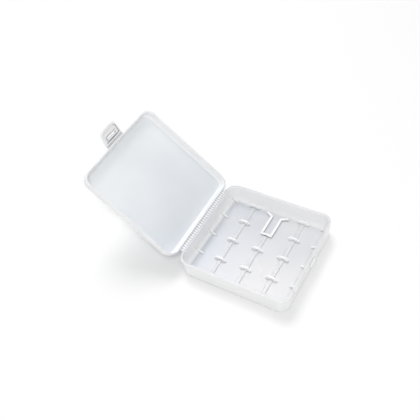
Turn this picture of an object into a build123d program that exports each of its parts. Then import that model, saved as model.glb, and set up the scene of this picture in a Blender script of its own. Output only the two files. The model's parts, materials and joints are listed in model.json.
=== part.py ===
from build123d import *
import math
import os

# Storage case for four round lithium cells: a tray and a lid moulded in one piece of frosted
# polypropylene, joined by a living hinge, with a latch flap on the lid's free edge.
# Frame: millimetres, origin at the centre of the tray's underside, +Z up, +X from the lid's
# hinge to the latch, +Y along the hinge and along the cells. The lid is drawn closed and then
# swung open to the angle at which it rests.

# ---- driving dimensions ----
CASE_WIDTH = 78.0            # X, across the four cells
CASE_LENGTH = 76.0           # Y, along the cells
TRAY_HEIGHT = 14.2
LID_DEPTH = 6.6
CORNER_RADIUS = 7.5          # outer corners at the rims, seen from above
TRAY_WALL = 1.4
TRAY_FLOOR = 1.2
LID_WALL = 1.2
LID_ROOF = 1.0
DRAFT_ANGLE = 3.4            # degrees that every wall leans out towards its rim
OUTER_EDGE_ROUND = 1.5       # outside edge between wall and floor, and wall and roof
TRAY_INNER_ROUND = 4.2       # inside edge between the tray's walls and floor
LID_INNER_ROUND = 1.8
RIM_ROUND = 0.35             # both edges of each rim
RIM_GAP = 0.3                # between the two rims when the case is shut

CELL_COUNT = 4
BAY_MARGIN = 1.6             # outside the four cell bays, up to each side of the case
CRADLE_OVERLAP = 0.1         # by which neighbouring cradles run into one another

LID_OPEN_ANGLE = 140.3       # degrees from shut to the rest position
LID_HINGE_WIDTH = 1.7        # between the tray's rim and the lid's rim, laid flat
LID_HINGE_INSET = 8.0        # from each end of the case to the end of the hinge
WEB_THICKNESS = 0.4          # both living hinges
WEB_GAP = 0.05               # left at the moving end of each living hinge

RIDGE_BASE = 4.2             # ridges between the cells
RIDGE_TOP = 1.8
RIDGE_HEIGHT = 0.9
FIN_HEIGHT = 3.1             # above the tray's floor
FIN_THICKNESS = 1.0
FIN_REACH = 4.2              # of each fin to either side of its ridge
WALL_FIN_REACH = 6.2         # of each side fin from the wall's foot
FIN_ROW_PITCH = 17.5         # between the three middle rows
END_ROW_INSET = 4.6          # of the two end rows from the ends of the case

BRACKET_SPREAD = 7.0         # between the centre lines of the bracket's rails
BRACKET_INSET = 24.0         # of its cross bar from the far end of the case
BRACKET_RAIL_LENGTH = 16.2
BRACKET_FOOT_LENGTH = 5.2
BRACKET_FOOT_ANGLE = 60.0
BRACKET_RIB = 1.4
BRACKET_HEIGHT = 1.6
BRACKET_RIDGE_GAP = 0.6      # between the cross bar and the end of the middle ridge

LATCH_REST_BEND = 29.0       # degrees that the latch rests bent towards the catch
LATCH_WEB_WIDTH = 1.6
LATCH_WEB_INSET = 0.3        # of the web behind the latch's inner face
LATCH_LENGTH = 10.6
LATCH_ROOT_WIDTH = 16.6
LATCH_END_WIDTH = 15.4
LATCH_THICKNESS = 1.6
LATCH_CORNER_RADIUS = 4.6
LATCH_EDGE_ROUND = 0.3
RECESS_DEPTH = 0.6           # of the shallow recess in the latch's inner face
RECESS_BORDER = 1.1          # frame left round it
RECESS_END_BORDER = 2.2
RECESS_CORNER = 0.6          # its corners next to the hinge
RECESS_END_CORNER = 2.8
SLOT_LENGTH = 8.4
SLOT_WIDTH = 1.2
SLOT_OFFSET = 5.0            # from the lid's edge to the middle of the slot
SLOT_FRAME = 0.7             # frame standing round the slot, inside the recess
LIP_LENGTH = 8.0             # finger lip at the latch's end
LIP_WIDTH = 1.3
LIP_HEIGHT = 0.8
LIP_SETBACK = 0.3

CATCH_CLEARANCE = 0.25       # round the catch, inside the latch's slot
CATCH_TIP_INSET = 0.4        # from the latch's outer face to the catch's tip, when shut

# ---- sizes that follow ----
CELL_PITCH = (CASE_WIDTH - 2 * BAY_MARGIN) / CELL_COUNT
RIM_PLANE = TRAY_HEIGHT + RIM_GAP / 2
LID_RIM = TRAY_HEIGHT + RIM_GAP
HINGE_X = -CASE_WIDTH / 2 - LID_HINGE_WIDTH / 2
LATCH_SIDE_X = CASE_WIDTH / 2
LATCH_AXIS_X = LATCH_SIDE_X + LATCH_WEB_WIDTH / 2
LATCH_AXIS_DEPTH = LATCH_WEB_INSET + WEB_THICKNESS / 2
LATCH_AXIS_Z = LID_RIM + LATCH_AXIS_DEPTH
LATCH_ROOT_X = LATCH_SIDE_X + LATCH_WEB_WIDTH
LATCH_END_X = LATCH_ROOT_X + LATCH_LENGTH
SLOT_X = LATCH_SIDE_X + SLOT_OFFSET
CRADLE_RADIUS = CELL_PITCH / 2 + CRADLE_OVERLAP
CELL_AXIS_Z = TRAY_FLOOR + CRADLE_RADIUS
RIDGE_PLACES = [CELL_PITCH * (i - CELL_COUNT / 2) for i in range(1, CELL_COUNT)]
END_ROW = CASE_LENGTH / 2 - END_ROW_INSET
FIN_ROWS = [-END_ROW, -FIN_ROW_PITCH, 0.0, FIN_ROW_PITCH, END_ROW]
BRACKET_START = CASE_LENGTH / 2 - BRACKET_INSET
MIDDLE_RIDGE_END = BRACKET_START - BRACKET_RIB / 2 - BRACKET_RIDGE_GAP


def drafted_block(width, length, height, radius, edge_round, start, up):
    """A rounded block that narrows away from its rim at height start, with its far edge rounded."""
    outline = Pos(0, 0, start) * RectangleRounded(width, length, radius)
    direction = (0, 0, 1 if up else -1)
    block = extrude(outline, amount=height, dir=direction, taper=DRAFT_ANGLE)
    far_face = block.faces().sort_by(Axis.Z)[-1 if up else 0]
    return fillet(far_face.edges(), edge_round)


def round_rim(shell, up):
    """Round both edges of the flat rim of an open shell."""
    rim = shell.faces().filter_by(GeomType.PLANE).sort_by(Axis.Z)[0 if up else -1]
    return fillet(rim.edges(), RIM_ROUND)


def tray_outer():
    return drafted_block(
        CASE_WIDTH,
        CASE_LENGTH,
        TRAY_HEIGHT,
        CORNER_RADIUS,
        OUTER_EDGE_ROUND,
        TRAY_HEIGHT,
        False,
    )


def tray_cavity():
    return drafted_block(
        CASE_WIDTH - 2 * TRAY_WALL,
        CASE_LENGTH - 2 * TRAY_WALL,
        TRAY_HEIGHT - TRAY_FLOOR,
        CORNER_RADIUS - TRAY_WALL,
        TRAY_INNER_ROUND,
        TRAY_HEIGHT,
        False,
    )


def tray_shell(outer, cavity):
    return round_rim(outer - cavity, False)


def cell_ridge(x, start, end, cavity):
    """Low ridge along the floor between two cells."""
    profile = make_face(Polyline(
        (x - RIDGE_BASE / 2, 0),
        (x + RIDGE_BASE / 2, 0),
        (x + RIDGE_TOP / 2, TRAY_FLOOR + RIDGE_HEIGHT),
        (x - RIDGE_TOP / 2, TRAY_FLOOR + RIDGE_HEIGHT),
        close=True,
    ))
    bar = extrude(Plane.XZ * profile, amount=(end - start) / 2, both=True)
    return Pos(0, (start + end) / 2, 0) * bar & cavity


def cell_disc(x):
    """Section of one cell's cradle."""
    return Pos(x, CELL_AXIS_Z) * Circle(CRADLE_RADIUS)


def fin_plate(profile, y):
    return Pos(0, y, 0) * extrude(Plane.XZ * profile, amount=FIN_THICKNESS / 2, both=True)


def ridge_fin(x, y, ridge, cavity):
    """Thin fin astride a ridge, hollowed on both sides to fit the cells."""
    height = TRAY_FLOOR + FIN_HEIGHT
    profile = Pos(x, height / 2) * Rectangle(2 * FIN_REACH, height)
    profile -= cell_disc(x - CELL_PITCH / 2)
    profile -= cell_disc(x + CELL_PITCH / 2)
    return (fin_plate(profile, y) & cavity) - ridge


def wall_fin(side, y, cavity):
    """Fin against a side wall, hollowed to fit the outermost cell."""
    height = TRAY_FLOOR + FIN_HEIGHT
    foot = CASE_WIDTH / 2 - TRAY_WALL
    profile = Pos(side * (foot - WALL_FIN_REACH / 2), height / 2) * Rectangle(WALL_FIN_REACH, height)
    profile -= cell_disc(side * CELL_PITCH * (CELL_COUNT - 1) / 2)
    return fin_plate(profile, y) & cavity


def floor_rib(length, x, y, turn, cavity):
    """Low straight rib on the floor, running away from (x, y) at an angle from +Y."""
    height = TRAY_FLOOR + BRACKET_HEIGHT
    rib = Pos(0, length / 2, height / 2) * Box(BRACKET_RIB, length, height)
    return Pos(x, y, 0) * Rot(0, 0, turn) * rib & cavity


def bracket_rail(side, cavity):
    """One long rail of the bracket, with the foot that splays out from its far end."""
    x = side * BRACKET_SPREAD / 2
    start = BRACKET_START + BRACKET_RIB / 2
    rail = floor_rib(BRACKET_RAIL_LENGTH, x, start, 0, cavity)
    foot_start = start + BRACKET_RAIL_LENGTH - BRACKET_RIB / 2
    foot = floor_rib(BRACKET_FOOT_LENGTH, x, foot_start, -side * BRACKET_FOOT_ANGLE, cavity)
    return rail + foot


def bracket_cross_bar(cavity):
    width = BRACKET_SPREAD + BRACKET_RIB
    return floor_rib(width, width / 2, BRACKET_START, 90, cavity)


def latch_catch(outer):
    """Wedge on the tray's latch-side wall that the latch's slot drops over."""
    middle = LATCH_AXIS_Z - (SLOT_X - LATCH_AXIS_X)
    half_height = SLOT_WIDTH / 2 - CATCH_CLEARANCE
    tip = LATCH_AXIS_X + LATCH_THICKNESS - LATCH_AXIS_DEPTH - CATCH_TIP_INSET
    wall = LATCH_SIDE_X - TRAY_WALL
    profile = make_face(Polyline(
        (wall, middle - half_height),
        (tip, middle - half_height),
        (tip, middle),
        (LATCH_SIDE_X, middle + half_height),
        (wall, middle + half_height),
        close=True,
    ))
    length = SLOT_LENGTH - 2 * CATCH_CLEARANCE
    return extrude(Plane.XZ * profile, amount=length / 2, both=True) - outer


def lid_shell():
    outer = drafted_block(CASE_WIDTH, CASE_LENGTH, LID_DEPTH, CORNER_RADIUS, OUTER_EDGE_ROUND, LID_RIM, True)
    cavity = drafted_block(
        CASE_WIDTH - 2 * LID_WALL,
        CASE_LENGTH - 2 * LID_WALL,
        LID_DEPTH - LID_ROOF,
        CORNER_RADIUS - LID_WALL,
        LID_INNER_ROUND,
        LID_RIM,
        True,
    )
    return round_rim(outer - cavity, True)


def folded_web(axis, direction, fixed_reach, moving_reach, depths, fold, length):
    """Thin web along Y that runs up to a hinge axis and on past it, turned up by an angle in radians.

    The reaches are measured from the axis, the two depths of its faces below it.
    """
    def fixed_point(along, depth):
        return (axis[0] + direction * along, axis[1] - depth)

    def moving_point(along, depth):
        return (
            axis[0] + direction * (along * math.cos(fold) + depth * math.sin(fold)),
            axis[1] + along * math.sin(fold) - depth * math.cos(fold),
        )

    def fold_point(depth):
        return fixed_point(depth * math.tan(fold / 2), depth)

    upper, lower = depths
    profile = make_face(Polyline(
        fixed_point(-fixed_reach, upper),
        fold_point(upper),
        moving_point(moving_reach, upper),
        moving_point(moving_reach, lower),
        fold_point(lower),
        fixed_point(-fixed_reach, lower),
        close=True,
    ))
    return extrude(Plane.XZ * profile, amount=length / 2, both=True)


def lid_living_hinge(outer):
    """Thin web between the two rims, bent to the angle at which the lid rests."""
    reach = LID_HINGE_WIDTH / 2
    depths = (RIM_GAP / 2, RIM_GAP / 2 + WEB_THICKNESS)
    fold = math.radians(180 - LID_OPEN_ANGLE)
    length = CASE_LENGTH - 2 * LID_HINGE_INSET
    web = folded_web((HINGE_X, RIM_PLANE), -1, reach + WEB_THICKNESS, reach - WEB_GAP, depths, fold, length)
    return web - outer


def latch_living_hinge(lid):
    """Thin web between the lid's rim and the latch, bent as the latch rests."""
    reach = LATCH_WEB_WIDTH / 2
    depths = (-WEB_THICKNESS / 2, WEB_THICKNESS / 2)
    fold = -math.radians(LATCH_REST_BEND)
    axis = (LATCH_AXIS_X, LATCH_AXIS_Z)
    web = folded_web(axis, 1, reach + LID_WALL / 2, reach - WEB_GAP, depths, fold, LATCH_ROOT_WIDTH)
    return web - lid


def latch_outline(start, end, border, root_corner, end_corner):
    """The latch seen from above between two X, its sides moved in by a border and its corners rounded."""
    def half_width(x):
        share = (x - LATCH_ROOT_X) / LATCH_LENGTH
        return (LATCH_ROOT_WIDTH + (LATCH_END_WIDTH - LATCH_ROOT_WIDTH) * share) / 2 - border

    outline = make_face(Polyline(
        (start, -half_width(start)),
        (end, -half_width(end)),
        (end, half_width(end)),
        (start, half_width(start)),
        close=True,
    ))
    outline = fillet(outline.vertices().sort_by(Axis.X)[-2:], end_corner)
    return fillet(outline.vertices().sort_by(Axis.X)[:2], root_corner)


def slot_block(grow, height):
    """Block over the latch's slot, larger than it all round by the amount it is told to grow."""
    outline = Rectangle(SLOT_WIDTH + 2 * grow, SLOT_LENGTH + 2 * grow)
    return Pos(SLOT_X, 0, LID_RIM) * extrude(outline, amount=height)


def latch_plate():
    """Flap with rounded corners and a slot for the catch, framed inside a shallow recess."""
    outline = latch_outline(LATCH_ROOT_X, LATCH_END_X, 0, LATCH_EDGE_ROUND, LATCH_CORNER_RADIUS)
    plate = Pos(0, 0, LID_RIM) * extrude(outline, amount=LATCH_THICKNESS)
    flat_faces = plate.faces().sort_by(Axis.Z)
    plate = fillet(flat_faces[0].edges() + flat_faces[-1].edges(), LATCH_EDGE_ROUND)
    recess_start = LATCH_ROOT_X + RECESS_BORDER
    recess_end = LATCH_END_X - RECESS_END_BORDER
    recess = latch_outline(recess_start, recess_end, RECESS_BORDER, RECESS_CORNER, RECESS_END_CORNER)
    plate -= Pos(0, 0, LID_RIM) * extrude(recess, amount=RECESS_DEPTH) - slot_block(SLOT_FRAME, RECESS_DEPTH)
    return plate - slot_block(0, LATCH_THICKNESS)


def latch_lip():
    """Finger lip across the end of the latch's outer face."""
    outline = RectangleRounded(LIP_WIDTH, LIP_LENGTH, LIP_WIDTH * 0.45)
    bar = extrude(outline, amount=LIP_HEIGHT)
    bar = fillet(bar.faces().sort_by(Axis.Z)[-1].edges(), LATCH_EDGE_ROUND)
    x = LATCH_END_X - LIP_SETBACK - LATCH_EDGE_ROUND - LIP_WIDTH / 2
    return Pos(x, 0, LID_RIM + LATCH_THICKNESS) * bar


def bend_to_rest(shape):
    """Turn a piece of the flat latch about its own hinge towards the catch."""
    hinge = Pos(LATCH_AXIS_X, 0, LATCH_AXIS_Z)
    return hinge * Rot(0, LATCH_REST_BEND, 0) * hinge.inverse() * shape


def swing_open(shape):
    """Turn a piece of the shut lid about the lid's hinge to the rest position."""
    hinge = Pos(HINGE_X, 0, RIM_PLANE)
    return hinge * Rot(0, -LID_OPEN_ANGLE, 0) * hinge.inverse() * shape


def build_tray():
    outer = tray_outer()
    cavity = tray_cavity()
    end = CASE_LENGTH / 2
    pieces = {
        "tray_shell": tray_shell(outer, cavity),
        "latch_catch": latch_catch(outer),
        "bracket_rail_hinge_side": bracket_rail(-1, cavity),
        "bracket_rail_latch_side": bracket_rail(1, cavity),
        "bracket_cross_bar": bracket_cross_bar(cavity),
        "lid_living_hinge": lid_living_hinge(outer),
    }
    for number, x in enumerate(RIDGE_PLACES, start=1):
        is_middle = number == CELL_COUNT // 2
        ridge = cell_ridge(x, -end, MIDDLE_RIDGE_END if is_middle else end, cavity)
        pieces[f"cell_ridge_{number}"] = ridge
        for row, y in enumerate(FIN_ROWS, start=1):
            under_bracket = is_middle and y > MIDDLE_RIDGE_END
            if not under_bracket:
                pieces[f"ridge_{number}_fin_{row}"] = ridge_fin(x, y, ridge, cavity)
    for side, name in ((-1, "hinge_wall"), (1, "latch_wall")):
        for row, y in enumerate(FIN_ROWS, start=1):
            pieces[f"{name}_fin_{row}"] = wall_fin(side, y, cavity)
    return pieces


def build_lid():
    shell = lid_shell()
    pieces = {
        "lid_shell": shell,
        "latch_living_hinge": latch_living_hinge(shell),
        "latch_plate": bend_to_rest(latch_plate()),
        "latch_lip": bend_to_rest(latch_lip()),
    }
    return {name: swing_open(shape) for name, shape in pieces.items()}


os.makedirs("parts", exist_ok=True)
for name, shape in {**build_tray(), **build_lid()}.items():
    solids = shape.solids()
    export_step(solids[0] if len(solids) == 1 else Compound(children=list(solids)), f"parts/{name}.step")
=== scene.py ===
import json
import math

import bmesh
import bpy
from mathutils import Matrix, Vector


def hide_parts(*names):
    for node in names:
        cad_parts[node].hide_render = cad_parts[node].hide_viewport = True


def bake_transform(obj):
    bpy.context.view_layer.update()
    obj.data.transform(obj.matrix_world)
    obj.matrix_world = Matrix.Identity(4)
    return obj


# Looks for a frosted, translucent plastic case for four cells, with its lid standing open.
# Metres, in the part's frame: +X from the lid's hinge to the latch, +Y along the hinge, +Z up.

MM = 0.001

# Living hinges: the same sizes as in the part.
LID_HINGE_WIDTH = 1.7 * MM
LID_HINGE_LENGTH = 60.0 * MM
LID_WEB_DEPTH = 0.35 * MM     # of the web's middle below the hinge axis
LATCH_HINGE_WIDTH = 1.6 * MM
LATCH_HINGE_LENGTH = 16.6 * MM
LATCH_REST_BEND = 29.0        # degrees that the latch rests bent towards the catch
WEB_THICKNESS = 0.4 * MM
WEB_NECK = 0.22 * MM          # thickness at the fold line
WEB_ROOT = 0.25 * MM          # run of each web inside the walls that it joins
WEB_PLEAT = 2.0 * MM          # between the small thick spots along the fold line
WEB_STEPS = 20                # across each web
WEB_ROW = 0.25 * MM           # between rows of points along each web
NECK_SPREAD = 0.16            # how far the thinning reaches, as a share of the web's width
NECK_SWING = 0.25             # share of the thinning that comes and goes along the web

# Plastic: painted shade on the flat panels, the thinnest walls, standing in for the shade seen through them,
# so they look cooler and darker than the rest.
TRAY_PANEL_SHADE_DEEP = (0.55, 0.58, 0.63)
TRAY_PANEL_SHADE_LIGHT = (0.71, 0.705, 0.72)
LID_PANEL_SHADE_DEEP = (0.69, 0.72, 0.76)
LID_PANEL_SHADE_LIGHT = (0.85, 0.875, 0.885)
TRAY_SHADE_FADE = (-40 * MM, 10 * MM)    # X from the deepest to the lightest painted shade on the tray's floor
LID_SHADE_FADE = (-45 * MM, -105 * MM)   # the same for the lid
WALL_COOL = (0.95, 0.96, 0.975)
WALL_WARM = (0.97, 0.97, 0.97)
PLEAT_SHADE = (0.6, 0.62, 0.65)     # painted shade on the lid's web between its small thick spots
LATCH_WEB_SHADE = ((0.55, 0.56, 0.58), (0.62, 0.62, 0.63))   # painted shade on the latch's web, for the shade seen through it
CREASE_SHADE = (0.2, 0.2, 0.21)     # painted shade in the narrow corners of the bracket and the latch
BRACKET_SHADE_REACH = 1.5 * MM          # distance over which a corner counts as narrow
LATCH_SHADE_REACH = 1.2 * MM
FROSTED = (0.28, 0.4)              # range of roughness
GLOSSY = (0.16, 0.3)
PLASTIC_IOR = 1.49
SCATTER_SHARE = 0.7                # of the light that spreads under the surface
SCATTER_DEPTH = 1.5 * MM
UNEVENNESS = 0.35                  # share of the noise in the fade across a panel
PANEL_TILT = (0.75, 0.98)          # cosine to a panel's direction where a face starts, and is, panel
CREASE_SHADE_OPENNESS = (0.35, 0.9)      # openness at which a corner gets all of the painted shade and none of it
CREASE_SHADE_SAMPLES = 8
NOISE_MIDDLE = (0.3, 0.7)          # range that most of a noise lies in

# Noise: its scale and detail, and for a bump its strength and height too.
DRIFT = (24, 2)                    # slow change of colour and gloss
GRAIN = (2600, 3, 0.4, 0.03 * MM)
RIPPLE = (60, 1, 0.35, 0.25 * MM)

# Camera: where the photograph was taken from.
CAMERA_AZIMUTH = 35.88
CAMERA_ELEVATION = 48.06
CAMERA_ROLL = -8.73
CAMERA_TARGET = (-47.58 * MM, 19.38 * MM, 0.0)
CAMERA_DISTANCE = 438.1 * MM
FOCAL_LENGTH = 608.1          # in pixels of the photograph
PHOTO_SIZE = 420
SENSOR_WIDTH = 36.0

# Light: a soft lamp just above the camera, a wide one high behind the case and a small one for glints.
LAMP_DISTANCE = 1.2
KEY_AZIMUTH = 34.0
KEY_ELEVATION = 56.0
KEY_SIZE = 0.3
KEY_WATTS = 4.5
BACK_AZIMUTH = 225.0
BACK_ELEVATION = 64.0
BACK_SIZE = 0.6
BACK_WATTS = 5.0
GLINT_AZIMUTH = 207.0         # a small low lamp behind the case, for glints in its rounded corners
GLINT_ELEVATION = 31.0
GLINT_SIZE = 0.15
GLINT_WATTS = 0.8
WORLD_LEVEL = 0.5
FLOOR_COLOUR = (0.86, 0.86, 0.86)
FLOOR_ROUGHNESS = 0.9
FLOOR_GLOW = 0.08             # added to the floor where the camera or a reflection looks at it
FLOOR_SIZE = 4.0
CLIP_NEAR = 0.01
CLIP_FAR = 10.0


# ---- materials ----

def new_material(name):
    material = bpy.data.materials.new(name)
    material.use_nodes = True
    return material, material.node_tree.nodes, material.node_tree.links


def noise(nodes, links, scale, detail):
    """Noise in the object's own coordinates."""
    place = nodes.new("ShaderNodeTexCoord")
    texture = nodes.new("ShaderNodeTexNoise")
    texture.inputs["Scale"].default_value = scale
    texture.inputs["Detail"].default_value = detail
    links.new(place.outputs["Object"], texture.inputs["Vector"])
    return texture.outputs["Fac"]


def spread(nodes, links, source, low, high):
    """Map a noise value to the range from low to high."""
    span = nodes.new("ShaderNodeMapRange")
    span.inputs["From Min"].default_value = NOISE_MIDDLE[0]
    span.inputs["From Max"].default_value = NOISE_MIDDLE[1]
    span.inputs["To Min"].default_value = low
    span.inputs["To Max"].default_value = high
    links.new(source, span.inputs["Value"])
    return span.outputs["Result"]


def facing_share(nodes, links, direction):
    """1 where a face looks along a direction of its own piece, or against it, and 0 where it is edge on."""
    place = nodes.new("ShaderNodeTexCoord")
    along = nodes.new("ShaderNodeVectorMath")
    along.operation = "DOT_PRODUCT"
    along.inputs[1].default_value = direction
    links.new(place.outputs["Normal"], along.inputs[0])
    size = nodes.new("ShaderNodeMath")
    size.operation = "ABSOLUTE"
    links.new(along.outputs["Value"], size.inputs[0])
    share = nodes.new("ShaderNodeMapRange")
    share.inputs["From Min"].default_value = PANEL_TILT[0]
    share.inputs["From Max"].default_value = PANEL_TILT[1]
    links.new(size.outputs["Value"], share.inputs["Value"])
    return share.outputs["Result"]


def crease_shade_share(nodes, links, reach):
    """Mask for painted shade: 1 on open faces, falling in corners narrower than a reach."""
    openness = nodes.new("ShaderNodeAmbientOcclusion")
    openness.samples = CREASE_SHADE_SAMPLES
    openness.inputs["Distance"].default_value = reach
    share = nodes.new("ShaderNodeMapRange")
    share.inputs["From Min"].default_value = CREASE_SHADE_OPENNESS[0]
    share.inputs["From Max"].default_value = CREASE_SHADE_OPENNESS[1]
    links.new(openness.outputs["AO"], share.inputs["Value"])
    return share.outputs["Result"]


def pleat_shade_share(nodes, links, pitch):
    """Mask for painted shade on a web's pleats: swings between 0 and 1 along Y, once in every pitch."""
    place = nodes.new("ShaderNodeTexCoord")
    bands = nodes.new("ShaderNodeTexWave")
    bands.bands_direction = "Y"
    bands.inputs["Scale"].default_value = math.pi / (10 * pitch)
    links.new(place.outputs["Object"], bands.inputs["Vector"])
    return bands.outputs["Fac"]


def fade_share(nodes, links, fade, unevenness):
    """Share that rises along X from 0 to 1 between two places of a piece, made uneven by a noise."""
    place = nodes.new("ShaderNodeTexCoord")
    parts = nodes.new("ShaderNodeSeparateXYZ")
    links.new(place.outputs["Object"], parts.inputs["Vector"])
    rise = nodes.new("ShaderNodeMapRange")
    rise.inputs["From Min"].default_value = fade[0]
    rise.inputs["From Max"].default_value = fade[1]
    links.new(parts.outputs["X"], rise.inputs["Value"])
    both = nodes.new("ShaderNodeMix")
    both.inputs["Factor"].default_value = UNEVENNESS
    links.new(rise.outputs["Result"], both.inputs["A"])
    links.new(unevenness, both.inputs["B"])
    return both.outputs["Result"]


def blended(nodes, links, share, first, second):
    """Colour that runs from the first to the second, each a colour or a node's output, with a share."""
    mix = nodes.new("ShaderNodeMix")
    mix.data_type = "RGBA"
    links.new(share, mix.inputs["Factor"])
    for name, colour in (("A", first), ("B", second)):
        if isinstance(colour, tuple):
            mix.inputs[name].default_value = (*colour, 1)
        else:
            links.new(colour, mix.inputs[name])
    return mix.outputs["Result"]


def bump(nodes, links, scale, detail, strength, height):
    """Small uneven relief from a noise."""
    relief = nodes.new("ShaderNodeBump")
    relief.inputs["Strength"].default_value = strength
    relief.inputs["Distance"].default_value = height
    links.new(noise(nodes, links, scale, detail), relief.inputs["Height"])
    return relief


def frosted_plastic(name, gloss, body=(WALL_COOL, WALL_WARM), crease_shade_reach=None, pleat_shade=None, panel_shade=None):
    """Milky translucent plastic with a fine grain, slow moulding ripples and a range of roughness.

    A panel shade is a direction, two colours and a fade: faces along that direction get painted shade, for
    the shade seen through their thin walls, less of it from one end of the fade to the other.
    """
    material, nodes, links = new_material(name)
    shader = nodes["Principled BSDF"]
    shader.inputs["IOR"].default_value = PLASTIC_IOR
    shader.inputs["Subsurface Weight"].default_value = SCATTER_SHARE
    shader.inputs["Subsurface Radius"].default_value = (1, 1, 1)
    shader.inputs["Subsurface Scale"].default_value = SCATTER_DEPTH
    slow = noise(nodes, links, *DRIFT)
    drift = spread(nodes, links, slow, 0, 1)
    body = blended(nodes, links, drift, *body)
    # painted shade in the pleats of the web
    if pleat_shade:
        body = blended(nodes, links, pleat_shade_share(nodes, links, pleat_shade), PLEAT_SHADE, body)
    # painted shade on the thin panels
    if panel_shade:
        direction, deep_shade, light_shade, fade = panel_shade
        panel_shade_colour = blended(nodes, links, fade_share(nodes, links, fade, drift), deep_shade, light_shade)
        body = blended(nodes, links, facing_share(nodes, links, direction), body, panel_shade_colour)
    # painted shade in narrow corners
    if crease_shade_reach:
        body = blended(nodes, links, crease_shade_share(nodes, links, crease_shade_reach), CREASE_SHADE, body)
    links.new(body, shader.inputs["Base Color"])
    links.new(spread(nodes, links, slow, *gloss), shader.inputs["Roughness"])
    grain = bump(nodes, links, *GRAIN)
    ripple = bump(nodes, links, *RIPPLE)
    links.new(grain.outputs["Normal"], ripple.inputs["Normal"])
    links.new(ripple.outputs["Normal"], shader.inputs["Normal"])
    return material


def floor_material():
    """White studio floor: a little brighter where it is looked at, so that it reads as a white page."""
    material, nodes, links = new_material("studio_floor")
    shader = nodes["Principled BSDF"]
    shader.inputs["Base Color"].default_value = (*FLOOR_COLOUR, 1)
    shader.inputs["Roughness"].default_value = FLOOR_ROUGHNESS
    shader.inputs["Specular IOR Level"].default_value = 0.0
    glow = nodes.new("ShaderNodeEmission")
    path = nodes.new("ShaderNodeLightPath")
    looked_at = path.outputs["Is Camera Ray"]
    for ray in ("Is Glossy Ray", "Is Transmission Ray"):
        either = nodes.new("ShaderNodeMath")
        either.operation = "MAXIMUM"
        links.new(looked_at, either.inputs[0])
        links.new(path.outputs[ray], either.inputs[1])
        looked_at = either.outputs["Value"]
    level = nodes.new("ShaderNodeMath")
    level.operation = "MULTIPLY"
    level.inputs[1].default_value = FLOOR_GLOW
    links.new(looked_at, level.inputs[0])
    links.new(level.outputs["Value"], glow.inputs["Strength"])
    both = nodes.new("ShaderNodeAddShader")
    links.new(shader.outputs["BSDF"], both.inputs[0])
    links.new(glow.outputs["Emission"], both.inputs[1])
    links.new(both.outputs["Shader"], nodes["Material Output"].inputs["Surface"])
    return material


def finish_piece(piece, material):
    piece.data.materials.clear()
    piece.data.materials.append(material)


def make_plastics(open_angle):
    """The plastic of each kind of piece: one moulding, with painted shade on its thin panels and in the
    narrow corners of its fine details.
    """
    lid_normal = (-math.sin(open_angle), 0, math.cos(open_angle))
    return {
        "tray": frosted_plastic("frosted_tray", GLOSSY, panel_shade=((0, 0, 1), TRAY_PANEL_SHADE_DEEP, TRAY_PANEL_SHADE_LIGHT, TRAY_SHADE_FADE)),
        "lid": frosted_plastic("frosted_lid", FROSTED, panel_shade=(lid_normal, LID_PANEL_SHADE_DEEP, LID_PANEL_SHADE_LIGHT, LID_SHADE_FADE)),
        "edges": frosted_plastic("frosted_edges", FROSTED),
        "bracket": frosted_plastic("frosted_bracket", GLOSSY, crease_shade_reach=BRACKET_SHADE_REACH),
        "latch": frosted_plastic("frosted_latch", FROSTED, crease_shade_reach=LATCH_SHADE_REACH),
    }


def kind_of(node_name):
    if node_name.startswith("lid_shell"):
        return "lid"
    if node_name.startswith("bracket"):
        return "bracket"
    if node_name in ("latch_plate", "latch_lip", "latch_living_hinge"):
        return "latch"
    if node_name == "tray_shell" or node_name.startswith("cell_ridge"):
        return "tray"
    return "edges"


def finish_nodes(plastics):
    for node_name, node in frame["nodes"].items():
        finish_piece(node, plastics[kind_of(node_name)])


# ---- living hinges ----

def mesh_object(name, mesh_maker):
    mesh = bpy.data.meshes.new(name)
    work = bmesh.new()
    mesh_maker(work)
    bmesh.ops.recalc_face_normals(work, faces=work.faces)
    work.to_mesh(mesh)
    work.free()
    for polygon in mesh.polygons:
        polygon.use_smooth = True
    piece = bpy.data.objects.new(name, mesh)
    bpy.context.scene.collection.objects.link(piece)
    return piece


def neck_share(share, y):
    """How far the web is thinned at a place across it and along it, from 0 to 1."""
    across = math.exp(-((share - 0.5) / NECK_SPREAD) ** 2)
    along = 1 - NECK_SWING + NECK_SWING * math.cos(2 * math.pi * y / WEB_PLEAT)
    return across * along


def web_path(axis, width, heading, turn):
    """Middle line of a web through a hinge axis, in X and Z: straight roots with an arc between them."""
    ahead = Vector((math.cos(heading), math.sin(heading)))
    start = Vector(axis) - ahead * width / 2

    def at(share):
        bent = min(max(share, 0), 1)
        angle = heading + turn * bent
        chord = Vector((math.sin(angle) - math.sin(heading), math.cos(heading) - math.cos(angle)))
        direction = Vector((math.cos(angle), math.sin(angle)))
        return start + chord * width / turn + direction * (share - bent) * width, direction
    return at


def web_mesh(work, path, width, length, depth):
    """Closed strip along Y that follows a path, its middle sunk below the path by a depth."""
    root = WEB_ROOT / width
    shares = [(1 + 2 * root) * step / WEB_STEPS - root for step in range(WEB_STEPS + 1)]
    row_count = round(length / WEB_ROW)
    rows = []
    for row in range(row_count + 1):
        y = length * (row / row_count - 0.5)
        upper = []
        lower = []
        for share in shares:
            point, direction = path(share)
            below = Vector((-direction.y, direction.x))
            half = (WEB_THICKNESS - (WEB_THICKNESS - WEB_NECK) * neck_share(share, y)) / 2
            for side, sink in ((upper, depth - half), (lower, depth + half)):
                place = point + below * sink
                side.append(work.verts.new((place.x, y, place.y)))
        rows.append(upper + lower[::-1])
    for first, second in zip(rows, rows[1:]):
        for i in range(len(first)):
            j = (i + 1) % len(first)
            work.faces.new((first[i], first[j], second[j], second[i]))
    work.faces.new(rows[0])
    work.faces.new(rows[-1][::-1])


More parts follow.
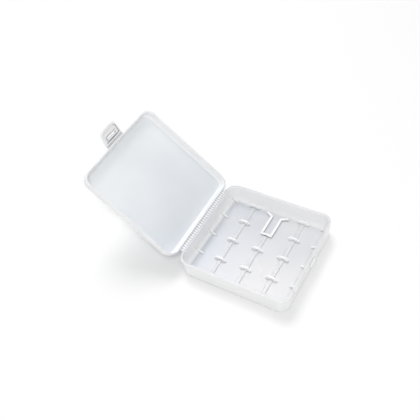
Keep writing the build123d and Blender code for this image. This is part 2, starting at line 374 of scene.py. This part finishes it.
def joint_named(name):
    return next(joint for joint in frame["joints"] if joint["name"] == name)


def bending_web(name, node, material, joint, width, length, heading, turn, depth):
    """Web bent between a joint's two bodies at the rest angle, in place of the part's folded one."""
    axis = (joint["pos_m"][0], joint["pos_m"][2])
    path = web_path(axis, width, heading, turn)
    web = mesh_object(name, lambda work: web_mesh(work, path, width, length, depth))
    finish_piece(web, material)
    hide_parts(node)
    start = path(0)[0]
    end = path(1)[0]
    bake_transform(web)


def make_webs(open_angle):
    bending_web(
        "lid_web",
        "lid_living_hinge",
        frosted_plastic("lid_web", FROSTED, pleat_shade=WEB_PLEAT),
        joint_named("lid_hinge"),
        LID_HINGE_WIDTH,
        LID_HINGE_LENGTH,
        math.pi,
        open_angle - math.pi,
        LID_WEB_DEPTH,
    )
    bending_web(
        "latch_web",
        "latch_living_hinge",
        # painted shade on the latch's web
        frosted_plastic("latch_web", FROSTED, body=LATCH_WEB_SHADE),
        joint_named("latch_hinge"),
        LATCH_HINGE_WIDTH,
        LATCH_HINGE_LENGTH,
        open_angle,
        -math.radians(LATCH_REST_BEND),
        0,
    )


# ---- stage, light and camera ----

def make_floor():
    def sheet(work):
        half = FLOOR_SIZE / 2
        places = ((-half, -half), (half, -half), (half, half), (-half, half))
        work.faces.new([work.verts.new((x, y, 0)) for x, y in places])
    floor = mesh_object("studio_floor", sheet)
    floor.data.materials.append(floor_material())


def make_world():
    world = bpy.data.worlds.new("studio")
    bpy.context.scene.world = world
    world.use_nodes = True
    background = world.node_tree.nodes["Background"]
    background.inputs["Color"].default_value = (1, 1, 1, 1)
    background.inputs["Strength"].default_value = WORLD_LEVEL


def outward(azimuth, elevation):
    """Unit vector from the object towards a place seen at that azimuth and elevation, in degrees."""
    a = math.radians(azimuth)
    e = math.radians(elevation)
    return Vector((math.sin(a) * math.cos(e), -math.cos(a) * math.cos(e), math.sin(e)))


def studio_place(azimuth, elevation, distance):
    return Vector(CAMERA_TARGET) + outward(azimuth, elevation) * distance


def area_light(name, place, aim, size, watts):
    data = bpy.data.lights.new(name, "AREA")
    data.shape = "DISK"
    data.size = size
    data.energy = watts
    light = bpy.data.objects.new(name, data)
    light.location = place
    light.rotation_mode = "QUATERNION"
    light.rotation_quaternion = (Vector(aim) - Vector(place)).to_track_quat("-Z", "Y")
    bpy.context.scene.collection.objects.link(light)


def make_lights():
    for name, azimuth, elevation, size, watts in (
        ("key", KEY_AZIMUTH, KEY_ELEVATION, KEY_SIZE, KEY_WATTS),
        ("back", BACK_AZIMUTH, BACK_ELEVATION, BACK_SIZE, BACK_WATTS),
        ("glint", GLINT_AZIMUTH, GLINT_ELEVATION, GLINT_SIZE, GLINT_WATTS),
    ):
        area_light(name, studio_place(azimuth, elevation, LAMP_DISTANCE), CAMERA_TARGET, size, watts)


def make_camera():
    roll = math.radians(CAMERA_ROLL)
    back = outward(CAMERA_AZIMUTH, CAMERA_ELEVATION)
    level_right = (-back).cross(Vector((0, 0, 1))).normalized()
    level_up = level_right.cross(-back)
    right = math.cos(roll) * level_right + math.sin(roll) * level_up
    up = math.cos(roll) * level_up - math.sin(roll) * level_right
    data = bpy.data.cameras.new("photo_camera")
    data.sensor_width = SENSOR_WIDTH
    data.lens = FOCAL_LENGTH / PHOTO_SIZE * SENSOR_WIDTH
    data.clip_start = CLIP_NEAR
    data.clip_end = CLIP_FAR
    camera = bpy.data.objects.new("photo_camera", data)
    bpy.context.scene.collection.objects.link(camera)
    turn = Matrix((right, up, back)).transposed().to_4x4()
    camera.matrix_world = Matrix.Translation(Vector(CAMERA_TARGET) + back * CAMERA_DISTANCE) @ turn
    bpy.context.scene.camera = camera


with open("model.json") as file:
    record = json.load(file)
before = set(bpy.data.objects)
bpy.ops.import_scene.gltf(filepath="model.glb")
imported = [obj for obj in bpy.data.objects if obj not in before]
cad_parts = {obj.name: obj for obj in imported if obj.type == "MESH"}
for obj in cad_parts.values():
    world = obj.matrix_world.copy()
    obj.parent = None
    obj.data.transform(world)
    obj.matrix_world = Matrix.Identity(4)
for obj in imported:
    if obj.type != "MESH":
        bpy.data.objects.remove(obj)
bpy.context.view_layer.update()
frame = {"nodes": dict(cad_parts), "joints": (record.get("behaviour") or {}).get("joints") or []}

open_angle = -math.radians(joint_named("lid_hinge")["range_deg"][0])
finish_nodes(make_plastics(open_angle))
make_webs(open_angle)

make_floor()
make_world()
make_lights()
make_camera()

bpy.context.scene.view_settings.view_transform = "Standard"
